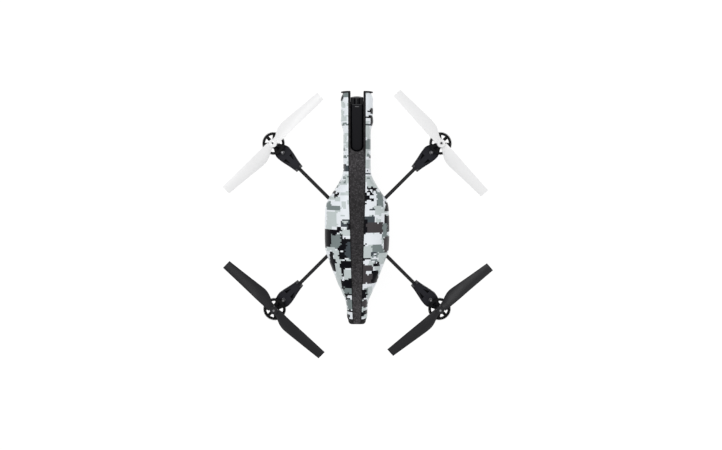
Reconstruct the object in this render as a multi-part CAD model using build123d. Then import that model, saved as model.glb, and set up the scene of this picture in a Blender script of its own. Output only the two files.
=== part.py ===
from build123d import *
import math
import os

# A camera quadcopter: four geared rotors on carbon tubes, a foam belly with the electronics in it,
# and a foam hull with two hard skins that lifts off over the battery.
# The origin is on the ground under the centre of the cross. +Y is the nose and +Z is up.
# Each arm is drawn along +X, from the centre outwards, and then turned to its place.

# ---- overall sizes ----
SPAN = 451.0                    # across the rotor discs, side to side and nose to tail
PROPELLER_DIAMETER = 200.0
NOSE_Y = 203.0                  # front faces of the two nose prongs
TAIL_Y = -147.0
TUBE_HEIGHT = 62.0              # axis of the arm tubes above the ground
HULL_BOTTOM = 52.0              # seam between the hull and the belly
ARMS = {"front_right": 45, "front_left": 135, "rear_left": 225, "rear_right": 315}
BLADE_ANGLES = {"front_right": 132, "front_left": 44, "rear_left": 136.5, "rear_right": 40.5}
CLOCKWISE = ("front_left", "rear_right")

# ---- fits ----
RUNNING_GAP = 0.03              # radial, a shaft in its bush
GLUE_GAP = 0.05                 # radial, a tube in its socket or a bush in its boss
END_GAP = 0.1                   # end float of a turning part
CLEARANCE = 0.3                 # between pieces that only sit near each other

# ---- arm tube and its leads ----
TUBE_RADIUS = 2.75
TUBE_WALL = 0.7
TUBE_START = 20.0               # inner end of a tube, from the centre
TUBE_IN_MOUNT = 24.0            # length of tube inside the motor mount
LEAD_RADIUS = 1.6
LEAD_PASSAGE = 1.9              # radius of the hole that carries the leads on past a tube's end
LEAD_DROP = 0.9                 # of the room in the tube, so that the leads lie low
CONTROLLER_MARGIN = 1.0         # controller board to the mount's end and to the keel
CONTROLLER_CHIPS = (0.1, 0.55)  # where its chips start, as shares of its length
CONTROLLER_CHIP = 0.35          # length of a chip, as a share of the board's

# ---- gear pair ----
TOOTH_MODULE = 0.48
GEAR_TEETH = 70
PINION_TEETH = 8
GEAR_WIDTH = 4.0
GEAR_RIM = 3.4                  # rim under the teeth
SPOKES = 7
SPOKE_WIDTH = 4.6
GEAR_HUB_RADIUS = 6.0
GEAR_HUB_RISE = 1.0             # hub above the rim
GEAR_HEIGHT = 71.6              # underside of the gear
PINION_OVERHANG = 0.8           # pinion past each face of the gear

# ---- rotor shaft, bushes and propeller ----
SHAFT_RADIUS = 1.5
SHAFT_END = 89.5
SHAFT_HEAD_RADIUS = 2.4
SHAFT_HEAD = 1.4
COLLAR_RADIUS = 2.2
BUSH_RADIUS = 3.0
BUSH_LENGTH = 3.0
BUSH_FLANGE_RADIUS = 3.8
BUSH_FLANGE = 0.5
PROPELLER_HUB_RADIUS = 6.0
PROPELLER_HUB_HEIGHT = 10.4
CLIP_THICKNESS = 0.6
CLIP_RADIUS = 2.7
GROOVE_DEPTH = 0.3
BLADE_PITCH = 85.0              # advance per turn
BLADE_STEEPEST = 22.0           # degrees, near the hub
BLADE_LEADING = 5.9             # straight leading edge, from the shaft's axis
BLADE_TRAILING = [(0.05, 5.4), (0.1, 6.2), (0.164, 9.2), (0.22, 11.8), (0.31, 13.3),
                  (0.45, 12.4), (0.6, 11.1), (0.76, 9.8), (1.0, 7.9)]
BLADE_ROOT_THICKNESS = 2.4
BLADE_TIP_THICKNESS = 1.0
BLADE_CAMBER = 0.06             # of the chord
BLADE_STEPS = 14

# ---- motor ----
CAN_RADIUS = 9.5
CAN_LENGTH = 18.0
CAN_BOSS_RADIUS = 2.4
CAN_BOSS = 2.6
CAN_EDGE = 1.0                  # rounding of its top edge
MOTOR_SHAFT_RADIUS = 0.75
MOTOR_SHAFT_START = 2.0         # above the can's bottom

# ---- motor mount ----
CUP_WALL = 2.2
DECK = 1.0                      # plate over the motor
MOUNT_RIM = 1.2                 # width and height of the rim round the deck
MOUNT_HALF_HEIGHT = 6.0         # above and below the tube's axis
MOUNT_LENGTH = 54.2             # from the rotor's axis back to the inner end
MOUNT_TAIL_HALF = 6.0
WAIST_BULGE = 0.2
BRIDGE_HALF = 8.7
BRIDGE_REACH = 0.75             # of the cup's radius, where the bridge begins to narrow
BOSS_WALL = 2.8
BOSS_RISE = 2.0                 # rotor boss above the mount's rim
POCKET_DEPTH = 6.0
POCKET_START = 0.28             # of the mount's length
POCKET_PAST_CUP = 1.5
SOCKET_WALL = 0.9               # between the tube and the pockets
EAR_RADIUS = 1.9
EAR_RISE = 0.6                  # ears above the mount's rim
KEEL_LENGTH = 11.0
KEEL_HALF = 5.5

# ---- landing skid ----
COLLAR_PLATE = 2.0
LEG_TOP = (7.0, 4.2)
LEG_FOOT = (3.6, 2.8)
PAD_RADIUS = 5.0
PAD_HEIGHT = 3.0
PAD_EDGE = 1.2

# ---- screws ----
SCREW_RADIUS = 1.0
SCREW_LENGTH = 5.5
SCREW_HEAD_RADIUS = 1.9
SCREW_HEAD = 1.4

# ---- centre ----
CROSS_REACH = 44.0
CROSS_ARM_HALF = 5.5
CROSS_CHAMFER = 1.5
CROSS_HUB_RADIUS = 16.0
CROSS_WELL_RADIUS = 9.0
CROSS_EAR_REACH = 22.0
CROSS_EAR_RADIUS = 4.5
TRAY_THICKNESS = 4.0
TRAY = (28.0, -58.0, 50.0)      # half width, rear and front
TRAY_CORNER = 8.0
TRAY_HOLE_RADIUS = 7.0
BATTERY = (36.0, 70.0, 25.0)
BATTERY_EDGE = 1.5
STRAP_WIDTH = 18.0
STRAP_THICKNESS = 1.0
STRAP_RISE = 1.0                # wide part of the strap above the cross

# ---- belly and electronics ----
BELLY_INSET = 1.5               # belly inside the hull's outline
BELLY_BOTTOM = 24.0
BELLY_NOSE_Y = 190.0
BELLY_TAIL_Y = -134.0
BELLY_RISE = [(BELLY_TAIL_Y, HULL_BOTTOM - 10), (TRAY[1], BELLY_BOTTOM), (TRAY[2], BELLY_BOTTOM),
              (BELLY_NOSE_Y, HULL_BOTTOM - 12)]
BELLY_FLAT = 0.55               # share of the belly's width that is flat below
BELLY_CORNER = 0.85             # share of the width where its lower corner begins to flatten
BELLY_CORNER_RISE = 2.0
BELLY_CORNER_LEAN = 0.5
BELLY_FLOOR = 4.0
BELLY_STEPS = 34
BELLY_BAY = (24.0, -52.0, 44.0)  # half width, rear and front
BOARD_THICKNESS = 1.6
MAIN_BOARD = (42.0, 84.0, 44.0)  # width, length and height of its underside
NAVIGATION_BOARD = (34.0, 62.0, 35.0)
# Chips of the two boards: middle X and Y, size in X and Y, and height.
MAIN_CHIPS = [(0, 14, 16, 16, 2.0), (-8, -16, 12, 14, 1.6), (10, -20, 9, 9, 1.6)]
NAVIGATION_CHIPS = [(0, 8, 8, 8, 1.4), (6, -12, 6, 10, 1.4)]
BOARD_POST = 2.0
BOARD_POST_INSET = 3.0          # from the board's edges
USB_SOCKET = (8.0, 6.0, 3.2)
USB_WALL = 0.6
USB_INSET = 0.5                 # from the tray's rear edge
SENSOR_RADIUS = 8.0
SENSOR_LIP = 1.0
SENSOR_FACE_DEPTH = 0.8
SENSOR_REACH = 19.0             # each range sensor, fore and aft of the centre
GROUND_CAMERA_SIZE = 9.0
GROUND_LENS_RADIUS = 2.5
GROUND_LENS_RISE = 1.0

# ---- hull ----
HULL_SKIN = 0.9
HULL_FOAM = 5.5
SLOT_HALF = 9.8                 # camera slot between the prongs
SLOT_REAR_Y = 112.8
SLOT_REAR_DEPTH = 8.5           # of its rounded rear end
RIM_AT_NOSE = 2.7               # bare foam in front of the skins
RIM_AT_TAIL = 8.0
SPINE_GROOVE = 1.0              # bare groove between spine and skin
HULL_STEPS = 44
HALF_WIDTHS = [(TAIL_Y, 15.0), (-130, 15.8), (-119.8, 16.5), (-113.6, 17.6), (-101.2, 22.6),
               (-88.9, 28.4), (-76.6, 33.1), (-64.3, 37.9), (-44.7, 45.2), (-38, 47.8), (-15, 49.0),
               (10, 48.8), (25, 48.2), (33, 47.2), (39.5, 45.0), (45.6, 41.2), (51.5, 37.0),
               (63.5, 29.3), (69.9, 25.6), (76, 22.8), (83, 21.2), (90, 20.7), (145.8, 20.7),
               (152.7, 24.2), (NOSE_Y, 24.2)]
CROWNS = [(TAIL_Y, 84.0), (-100, 95.0), (-20, 108.0), (40, 105.0), (112, 92.0), (NOSE_Y, 84.0)]
SPINE_HALVES = [(TAIL_Y, 5.5), (-110, 6.85), (-21, 9.0), (40, 11.2), (115, 12.2), (NOSE_Y, 12.2)]
TAIL_CORNER = 6.0               # rounding of the tail, seen from above
SHOULDER_FROM = 0.35            # share of the hull's height where its sides begin to curve in
SHOULDER_ARCH = 0.72            # how square the shoulder is: 0 flat, 1 square
SHOULDER_LEAN = 0.45
ARM_NOTCH = 0.8                 # round the tube
NOTCH_IN_DISC = 20.0            # how far the notches run on below the rotor disc

# ---- nose camera ----
COVER_HALF = 8.7
COVER_FOOT_HALF = 9.3
COVER_FOOT = 8.0
COVER_FRONT_Y = 183.5
COVER_BELOW_CROWN = 3.0
COVER_ROUND = 2.0
COVER_WALL = 1.4
COVER_GAP = 1.0                 # behind the cover's round end
BEZEL_HALF = 9.5
BEZEL_FRONT_Y = 196.5
BEZEL_DOME = 30.0               # radius of its front
BEZEL_SHOULDER = 2.4            # bezel below the cover's top, either side of the hood
HOOD_RADIUS = 5.4
LENS_RADIUS = 4.5
LENS_BEHIND = 14.0              # barrel behind the bezel
LENS_SET_BACK = 1.0             # glass behind the bezel's front
LENS_FOOT = 6.0

# ---- worked out ----
ROTOR_REACH = (SPAN - PROPELLER_DIAMETER) / math.sqrt(2)
GEAR_CENTRES = TOOTH_MODULE * (GEAR_TEETH + PINION_TEETH) / 2
MOTOR_REACH = ROTOR_REACH - GEAR_CENTRES
MOUNT_START = ROTOR_REACH - MOUNT_LENGTH
MOUNT_BOTTOM = TUBE_HEIGHT - MOUNT_HALF_HEIGHT
MOUNT_TOP = TUBE_HEIGHT + MOUNT_HALF_HEIGHT
DECK_TOP = MOUNT_TOP - MOUNT_RIM
EAR_TOP = MOUNT_TOP + EAR_RISE
EAR_REACH = MOUNT_START + EAR_RADIUS
CAN_TOP = DECK_TOP - DECK
CAN_BOTTOM = CAN_TOP - CAN_LENGTH
CUP_RADIUS = CAN_RADIUS + GLUE_GAP + CUP_WALL
BOSS_TOP = MOUNT_TOP + BOSS_RISE
BOSS_RADIUS = BUSH_RADIUS + GLUE_GAP + BOSS_WALL
GEAR_TOP = GEAR_HEIGHT + GEAR_WIDTH
HUB_BOTTOM = GEAR_TOP + GEAR_HUB_RISE
HUB_TOP = HUB_BOTTOM + PROPELLER_HUB_HEIGHT
TUBE_END = MOUNT_START + TUBE_IN_MOUNT
KEEL_END = MOTOR_REACH - CAN_RADIUS
SCREW_ROW = KEEL_END - KEEL_LENGTH / 2
TRAY_TOP = HULL_BOTTOM + TRAY_THICKNESS
CROSS_TOP = TUBE_HEIGHT + MOUNT_HALF_HEIGHT
HULL_WIDTH = 2 * max(half for _, half in HALF_WIDTHS)
HULL_TOP = max(crown for _, crown in CROWNS)
COVER_FLANK = SLOT_REAR_Y + SLOT_REAR_DEPTH
PAST = 5.0                      # how far a cutting shape runs on past what it cuts
QUARTERS = (0, 90, 180, 270)
UP = (Align.CENTER, Align.CENTER, Align.MIN)


# ---- helpers ----

def smooth(table, at):
    """Value of a table of (place, value) pairs at a place, on a curve with no overshoot."""
    places = [place for place, _ in table]
    values = [value for _, value in table]
    at = min(max(at, places[0]), places[-1])
    slopes = [(values[i + 1] - values[i]) / (places[i + 1] - places[i]) for i in range(len(table) - 1)]
    tangents = [slopes[0]]
    for before, after in zip(slopes, slopes[1:]):
        tangents.append(2 * before * after / (before + after) if before * after > 0 else 0.0)
    tangents.append(slopes[-1])
    i = max(k for k in range(len(slopes)) if places[k] <= at)
    length = places[i + 1] - places[i]
    t = (at - places[i]) / length
    return (values[i] * (1 + 2 * t) * (1 - t) ** 2 + values[i + 1] * t * t * (3 - 2 * t)
            + tangents[i] * length * t * (1 - t) ** 2 - tangents[i + 1] * length * t * t * (1 - t))


def post(radius, bottom, top, x=0.0, y=0.0):
    return Pos(x, y, bottom) * Cylinder(radius, top - bottom, align=UP)


def rod(radius, start, end, height=TUBE_HEIGHT):
    """A round bar along the arm."""
    return Pos(start, 0, height) * Rot(0, 90, 0) * Cylinder(radius, end - start, align=UP)


def block(x_range, y_range, z_range):
    size = [high - low for low, high in (x_range, y_range, z_range)]
    middle = [(low + high) / 2 for low, high in (x_range, y_range, z_range)]
    return Pos(*middle) * Box(*size)


def prism(outline, bottom, top):
    """An upright solid on a closed outline of points or edges."""
    if isinstance(outline[0], tuple):
        outline = Polyline(*outline, close=True)
    return Pos(0, 0, bottom) * extrude(make_face(outline), top - bottom, dir=(0, 0, 1))


def on_arm(angle, shape):
    return Rot(0, 0, angle) * shape


def save(node, *solids):
    shape = Compound(children=list(solids)) if len(solids) > 1 else solids[0]
    export_step(shape, f"parts/{node}.step")


# ---- gear pair ----

def toothed_disc(teeth, root_share, tip_share, bottom, top, turn):
    """A spur wheel; the shares are half a tooth's thickness, in circular pitches."""
    pitch = math.pi * TOOTH_MODULE
    root = TOOTH_MODULE * (teeth / 2 - 1.25)
    tip = TOOTH_MODULE * (teeth / 2 + 1)
    flanks = ((root, -root_share), (tip, -tip_share), (tip, tip_share), (root, root_share))
    outline = []
    for tooth in range(teeth):
        middle = math.radians(turn) + 2 * math.pi * tooth / teeth
        for radius, half in flanks:
            angle = middle + half * pitch / radius
            outline.append((radius * math.cos(angle), radius * math.sin(angle)))
    return prism(outline, bottom, top)


def gear():
    """Spoked drive gear: a gap between teeth faces the pinion, and one spoke points outwards."""
    window_outer = TOOTH_MODULE * (GEAR_TEETH / 2 - 1.25) - GEAR_RIM
    half_pitch = 180 / GEAR_TEETH
    wheel = toothed_disc(GEAR_TEETH, 0.23, 0.12, GEAR_HEIGHT, GEAR_TOP, 180 + half_pitch)
    wheel -= post(window_outer, GEAR_HEIGHT, GEAR_TOP)
    half = SPOKE_WIDTH / 2
    arm = block((0, window_outer + GEAR_RIM / 2), (-half, half), (GEAR_HEIGHT, GEAR_TOP))
    for spoke in range(SPOKES):
        wheel += Rot(0, 0, 360 * spoke / SPOKES) * arm
    wheel += post(GEAR_HUB_RADIUS, GEAR_HEIGHT, HUB_BOTTOM)
    wheel -= post(SHAFT_RADIUS, GEAR_HEIGHT, HUB_BOTTOM)
    return Pos(ROTOR_REACH, 0, 0) * wheel


def pinion():
    bottom = GEAR_HEIGHT - PINION_OVERHANG
    top = GEAR_TOP + PINION_OVERHANG
    wheel = toothed_disc(PINION_TEETH, 0.21, 0.1, bottom, top, 0)
    return Pos(MOTOR_REACH, 0, 0) * (wheel - post(MOTOR_SHAFT_RADIUS, bottom, top))


def motor_shaft():
    bottom = CAN_BOTTOM + MOTOR_SHAFT_START
    return post(MOTOR_SHAFT_RADIUS, bottom, GEAR_TOP + PINION_OVERHANG, MOTOR_REACH)


# ---- rotor ----

def rotor_shaft():
    """Headed below the lower bush, with a collar for the gear and a groove for the clip."""
    head_top = MOUNT_BOTTOM - BUSH_FLANGE - END_GAP
    collar_bottom = BOSS_TOP + BUSH_FLANGE + END_GAP
    shaft = post(SHAFT_RADIUS, head_top, SHAFT_END)
    shaft += post(SHAFT_HEAD_RADIUS, head_top - SHAFT_HEAD, head_top)
    shaft += post(COLLAR_RADIUS, collar_bottom, GEAR_HEIGHT)
    ring = post(SHAFT_RADIUS, HUB_TOP, HUB_TOP + CLIP_THICKNESS)
    shaft -= ring - post(SHAFT_RADIUS - GROOVE_DEPTH, HUB_TOP, HUB_TOP + CLIP_THICKNESS)
    return Pos(ROTOR_REACH, 0, 0) * shaft


def circlip():
    ring = post(CLIP_RADIUS, HUB_TOP, HUB_TOP + CLIP_THICKNESS)
    ring -= post(SHAFT_RADIUS - GROOVE_DEPTH, HUB_TOP, HUB_TOP + CLIP_THICKNESS)
    mouth = SHAFT_RADIUS - GROOVE_DEPTH
    ring -= block((0, CLIP_RADIUS), (-mouth, mouth), (HUB_TOP, HUB_TOP + CLIP_THICKNESS))
    return Pos(ROTOR_REACH, 0, 0) * ring


def blade_section(share, tip):
    """A cambered slice across the blade, leading edge up, square to the blade's length."""
    reach = share * tip
    trailing = smooth(BLADE_TRAILING, share)
    chord = BLADE_LEADING + trailing
    pitch = min(math.atan(BLADE_PITCH / (2 * math.pi * reach)), math.radians(BLADE_STEEPEST))
    drop = chord * math.tan(pitch) / 2
    thickness = BLADE_ROOT_THICKNESS + (BLADE_TIP_THICKNESS - BLADE_ROOT_THICKNESS) * share
    middle = (HUB_BOTTOM + HUB_TOP) / 2
    edge = thickness / 4
    across = (trailing - BLADE_LEADING) / 2
    arch = BLADE_CAMBER * chord
    front_low, front_high = (-BLADE_LEADING, middle + drop - edge), (-BLADE_LEADING, middle + drop + edge)
    rear_low, rear_high = (trailing, middle - drop - edge), (trailing, middle - drop + edge)
    outline = [ThreePointArc(front_low, (across, middle + arch - thickness / 2), rear_low),
               Line(rear_low, rear_high),
               ThreePointArc(rear_high, (across, middle + arch + thickness / 2), front_high),
               Line(front_high, front_low)]
    return Plane(origin=(reach, 0, 0), x_dir=(0, 1, 0), z_dir=(1, 0, 0)) * make_face(outline)


def propeller(clockwise):
    radius = PROPELLER_DIAMETER / 2
    tip = math.sqrt(radius ** 2 - BLADE_TRAILING[-1][1] ** 2)
    root = BLADE_TRAILING[0][0]
    shares = [root + (1 - root) * step / BLADE_STEPS for step in range(BLADE_STEPS + 1)]
    blade = loft([blade_section(share, tip) for share in shares])
    screw = post(PROPELLER_HUB_RADIUS, HUB_BOTTOM, HUB_TOP) + blade + Rot(0, 0, 180) * blade
    screw -= post(SHAFT_RADIUS, HUB_BOTTOM - PAST, HUB_TOP + PAST)
    return screw if clockwise else mirror(screw, about=Plane.XZ)


# ---- motor and its mount ----

def motor_can():
    can = post(CAN_RADIUS, CAN_BOTTOM, CAN_TOP, MOTOR_REACH)
    can = fillet(can.edges().group_by(Axis.Z)[-1], CAN_EDGE)
    can += post(CAN_BOSS_RADIUS, CAN_TOP, CAN_TOP + CAN_BOSS, MOTOR_REACH)
    bore_start = CAN_BOTTOM + MOTOR_SHAFT_START - END_GAP
    return can - post(MOTOR_SHAFT_RADIUS + RUNNING_GAP, bore_start, CAN_TOP + CAN_BOSS, MOTOR_REACH)


def mount_outline(inset):
    """Teardrop plan: round about the motor, drawn in to the tube."""
    start = MOUNT_START + inset
    tail = MOUNT_TAIL_HALF - inset
    round_end = CUP_RADIUS - inset
    waist = (MOUNT_START + MOTOR_REACH) / 2
    waist_half = (MOUNT_TAIL_HALF + CUP_RADIUS) / 2 + WAIST_BULGE - inset
    places = [(start, tail), (waist, waist_half), (MOTOR_REACH, round_end)]
    side = Spline(*places, tangents=((1, 0.1), (1, 0)))
    other = mirror(side, about=Plane.XZ)
    tip = (MOTOR_REACH + round_end, 0)
    front = ThreePointArc((MOTOR_REACH, round_end), tip, (MOTOR_REACH, -round_end))
    return [Line((start, -tail), (start, tail)), side, front, other]


def mount_pocket():
    """A long triangular pocket beside the tube's socket."""
    side = TUBE_RADIUS + SOCKET_WALL
    far = MOTOR_REACH - CUP_RADIUS + POCKET_PAST_CUP
    near = MOUNT_START + POCKET_START * MOUNT_LENGTH
    wide = CUP_RADIUS - CUP_WALL - MOUNT_RIM
    return prism([(near, side), (far, side), (far, wide)], MOUNT_TOP - POCKET_DEPTH, MOUNT_TOP)


def motor_mount():
    body = prism(mount_outline(0), MOUNT_BOTTOM, MOUNT_TOP)
    body -= prism(mount_outline(MOUNT_RIM), DECK_TOP, MOUNT_TOP)
    body += post(CUP_RADIUS, CAN_BOTTOM, MOUNT_BOTTOM, MOTOR_REACH)
    narrow = ROTOR_REACH - BOSS_RADIUS
    wide = MOTOR_REACH + BRIDGE_REACH * CUP_RADIUS
    flank = [(MOTOR_REACH, BRIDGE_HALF), (wide, BRIDGE_HALF)]
    flank += [(narrow, BOSS_RADIUS), (ROTOR_REACH, BOSS_RADIUS)]
    body += prism(flank + [(x, -y) for x, y in reversed(flank)], MOUNT_BOTTOM, DECK_TOP)
    body += post(BOSS_RADIUS, MOUNT_BOTTOM, BOSS_TOP, ROTOR_REACH)
    keel_start = KEEL_END - KEEL_LENGTH
    body += block((keel_start, KEEL_END), (-KEEL_HALF, KEEL_HALF), (CAN_BOTTOM, MOUNT_BOTTOM))
    for side in (-1, 1):
        ear_y = side * (MOUNT_TAIL_HALF - EAR_RADIUS)
        body += post(EAR_RADIUS, MOUNT_BOTTOM, EAR_TOP, EAR_REACH, ear_y)
        body -= post(SCREW_RADIUS, EAR_TOP - SCREW_LENGTH, EAR_TOP, EAR_REACH, ear_y)
        body -= post(SCREW_RADIUS, CAN_BOTTOM, CAN_BOTTOM + SCREW_LENGTH, SCREW_ROW, side * KEEL_HALF / 2)
    pocket = mount_pocket()
    body -= pocket
    body -= mirror(pocket, about=Plane.XZ)
    body -= post(CAN_RADIUS + GLUE_GAP, CAN_BOTTOM, CAN_TOP, MOTOR_REACH)
    body -= post(CAN_BOSS_RADIUS + CLEARANCE, CAN_TOP, MOUNT_TOP, MOTOR_REACH)
    body -= post(BUSH_RADIUS + GLUE_GAP, MOUNT_BOTTOM, BOSS_TOP, ROTOR_REACH)
    body -= rod(TUBE_RADIUS + GLUE_GAP, MOUNT_START - PAST, TUBE_END)
    body -= rod(LEAD_PASSAGE, TUBE_END, MOTOR_REACH)
    return body


def shaft_bushes():
    """An upper and a lower flanged bush."""
    upper = post(BUSH_RADIUS, BOSS_TOP - BUSH_LENGTH, BOSS_TOP)
    upper += post(BUSH_FLANGE_RADIUS, BOSS_TOP, BOSS_TOP + BUSH_FLANGE)
    lower = post(BUSH_RADIUS, MOUNT_BOTTOM, MOUNT_BOTTOM + BUSH_LENGTH)
    lower += post(BUSH_FLANGE_RADIUS, MOUNT_BOTTOM - BUSH_FLANGE, MOUNT_BOTTOM)
    bore = post(SHAFT_RADIUS + RUNNING_GAP, MOUNT_BOTTOM - BUSH_FLANGE, BOSS_TOP + BUSH_FLANGE)
    return [Pos(ROTOR_REACH, 0, 0) * (bush - bore) for bush in (upper, lower)]


def arm_tube():
    return rod(TUBE_RADIUS, TUBE_START, TUBE_END) - rod(TUBE_RADIUS - TUBE_WALL, TUBE_START, TUBE_END)


def motor_leads():
    """The bundle of leads that lies along the inside of the tube, from the cross to the motor."""
    room = min(TUBE_RADIUS - TUBE_WALL, LEAD_PASSAGE) - LEAD_RADIUS
    end = MOTOR_REACH - CAN_RADIUS - CLEARANCE
    return rod(LEAD_RADIUS, CROSS_WELL_RADIUS, end, TUBE_HEIGHT - LEAD_DROP * room)


def motor_controller():
    """Speed controller board glued under the mount, with its two chips."""
    start = MOUNT_START + CONTROLLER_MARGIN
    end = KEEL_END - KEEL_LENGTH - CONTROLLER_MARGIN
    half = MOUNT_TAIL_HALF - CONTROLLER_MARGIN - CLEARANCE
    board_bottom = MOUNT_BOTTOM - BOARD_THICKNESS
    controller = block((start, end), (-half, half), (board_bottom, MOUNT_BOTTOM))
    chip = CONTROLLER_CHIP * (end - start)
    for share in CONTROLLER_CHIPS:
        near = start + share * (end - start)
        height = (board_bottom - BOARD_THICKNESS, board_bottom)
        controller += block((near, near + chip), (-half / 2, half / 2), height)
    return controller


def screw(x, y, seat):
    """A pan-head screw that points down from its seat."""
    shank = post(SCREW_RADIUS, seat - SCREW_LENGTH, seat, x, y)
    return shank + post(SCREW_HEAD_RADIUS, seat, seat + SCREW_HEAD, x, y)


def ear_screws():
    """Two screws down into the mount's ears, where it clamps the tube."""
    return [screw(EAR_REACH, side * (MOUNT_TAIL_HALF - EAR_RADIUS), EAR_TOP) for side in (-1, 1)]


def skid_screws():
    """Two screws up through the skid's collar into the mount's keel."""
    seat = CAN_BOTTOM - COLLAR_PLATE
    upright = [screw(SCREW_ROW, side * KEEL_HALF / 2, -seat) for side in (-1, 1)]
    return [mirror(one, about=Plane.XY) for one in upright]


def landing_foot():
    """Skid: a collar that closes the motor's cup, a tapered leg and a round pad."""
    bottom = CAN_BOTTOM - COLLAR_PLATE
    skid = post(CUP_RADIUS, bottom, CAN_BOTTOM, MOTOR_REACH)
    keel_start = KEEL_END - KEEL_LENGTH
    skid += block((keel_start, MOTOR_REACH), (-KEEL_HALF, KEEL_HALF), (bottom, CAN_BOTTOM))
    leg_top = Pos(MOTOR_REACH, 0, bottom) * Ellipse(*LEG_TOP)
    leg_foot = Pos(MOTOR_REACH, 0, PAD_HEIGHT) * Ellipse(*LEG_FOOT)
    pad = post(PAD_RADIUS, 0, PAD_HEIGHT, MOTOR_REACH)
    pad = fillet(pad.edges().group_by(Axis.Z)[-1], PAD_EDGE)
    skid += loft([leg_top, leg_foot]) + pad
    for side in (-1, 1):
        skid -= post(SCREW_RADIUS + GLUE_GAP, bottom, CAN_BOTTOM, SCREW_ROW, side * KEEL_HALF / 2)
    return skid


# ---- centre ----

def central_cross():
    cross = post(CROSS_HUB_RADIUS, TRAY_TOP, CROSS_TOP)
    for angle in ARMS.values():
        arm = block((0, CROSS_REACH), (-CROSS_ARM_HALF, CROSS_ARM_HALF), (TRAY_TOP, CROSS_TOP))
        cross += on_arm(angle, chamfer(arm.edges().filter_by(Axis.X).group_by(Axis.Z)[-1], CROSS_CHAMFER))
    ear_top = TRAY_TOP + COLLAR_PLATE
    ear_sides = (-CROSS_EAR_RADIUS, CROSS_EAR_RADIUS)
    for angle in QUARTERS:
        ear = post(CROSS_EAR_RADIUS, TRAY_TOP, ear_top, CROSS_EAR_REACH)
        ear += block((0, CROSS_EAR_REACH), ear_sides, (TRAY_TOP, ear_top))
        ear -= post(SCREW_RADIUS + GLUE_GAP, TRAY_TOP, ear_top, CROSS_EAR_REACH)
        cross += Rot(0, 0, angle) * ear
    cross -= post(CROSS_WELL_RADIUS, TRAY_TOP, CROSS_TOP)
    for angle in ARMS.values():
        cross -= on_arm(angle, rod(TUBE_RADIUS + GLUE_GAP, TUBE_START, CROSS_REACH + PAST))
        cross -= on_arm(angle, rod(LEAD_PASSAGE, 0, TUBE_START))
    return cross


def cross_screws():
    seat = TRAY_TOP + COLLAR_PLATE
    return [Rot(0, 0, angle) * screw(CROSS_EAR_REACH, 0, seat) for angle in QUARTERS]


def electronics_tray():
    half, rear, front = TRAY
    tray = block((-half, half), (rear, front), (HULL_BOTTOM, TRAY_TOP))
    tray = chamfer(tray.edges().filter_by(Axis.Z), TRAY_CORNER)
    tray -= post(TRAY_HOLE_RADIUS, HULL_BOTTOM, TRAY_TOP)
    for angle in QUARTERS:
        hole = post(SCREW_RADIUS, TRAY_TOP + COLLAR_PLATE - SCREW_LENGTH, TRAY_TOP, CROSS_EAR_REACH)
        tray -= Rot(0, 0, angle) * hole
    return tray


def board(size, posts_to, chips):
    """A circuit board hung on four posts, with its chips on top."""
    width, length, bottom = size
    top = bottom + BOARD_THICKNESS
    plate = block((-width / 2, width / 2), (-length / 2, length / 2), (bottom, top))
    plate = fillet(plate.edges().filter_by(Axis.Z), BOARD_POST)
    for x in (-1, 1):
        for y in (-1, 1):
            corner = (x * (width / 2 - BOARD_POST_INSET), y * (length / 2 - BOARD_POST_INSET))
            plate += post(BOARD_POST, top, posts_to, *corner)
    for x, y, size_x, size_y, height in chips:
        plate += Pos(x, y, top) * Box(size_x, size_y, height, align=UP)
    return plate


def usb_socket():
    width, length, height = USB_SOCKET
    rear = TRAY[1] + USB_INSET
    half = width / 2
    shell = block((-half, half), (rear, rear + length), (TRAY_TOP, TRAY_TOP + height))
    mouth = Box(width - 2 * USB_WALL, length - USB_WALL, height - 2 * USB_WALL, align=UP)
    return shell - Pos(0, rear + (length - USB_WALL) / 2, TRAY_TOP + USB_WALL) * mouth


def range_sensors():
    """Two ultrasound transducers that look down through the belly's floor."""
    solids = []
    for y in (-SENSOR_REACH, SENSOR_REACH):
        can = post(SENSOR_RADIUS, BELLY_BOTTOM, NAVIGATION_BOARD[2], 0, y)
        face = post(SENSOR_RADIUS - SENSOR_LIP, BELLY_BOTTOM, BELLY_BOTTOM + SENSOR_FACE_DEPTH, 0, y)
        solids.append(can - face)
    return solids


def ground_camera():
    half = GROUND_CAMERA_SIZE / 2
    face = BELLY_BOTTOM + GROUND_LENS_RISE
    body = block((-half, half), (-half, half), (face, NAVIGATION_BOARD[2]))
    return body + post(GROUND_LENS_RADIUS, BELLY_BOTTOM, face)


def battery_pack():
    width, length, height = BATTERY
    top = CROSS_TOP + height
    pack = block((-width / 2, width / 2), (-length / 2, length / 2), (CROSS_TOP, top))
    return fillet(pack.edges().filter_by(Axis.Y), BATTERY_EDGE)


def battery_strap():
    """A flat band over the battery, down to the cross's ears."""
    half = BATTERY[0] / 2
    foot = TRAY_TOP + COLLAR_PLATE
    top = CROSS_TOP + BATTERY[2]
    reach = half + STRAP_THICKNESS
    tails = block((-reach, reach), (-CROSS_EAR_RADIUS, CROSS_EAR_RADIUS), (foot, top))
    flank = (-STRAP_WIDTH / 2, STRAP_WIDTH / 2)
    band = block((-reach, reach), flank, (CROSS_TOP + STRAP_RISE, top + STRAP_THICKNESS))
    return tails + band - block((-half, half), (-STRAP_WIDTH, STRAP_WIDTH), (foot, top))


# ---- hull and belly ----

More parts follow.
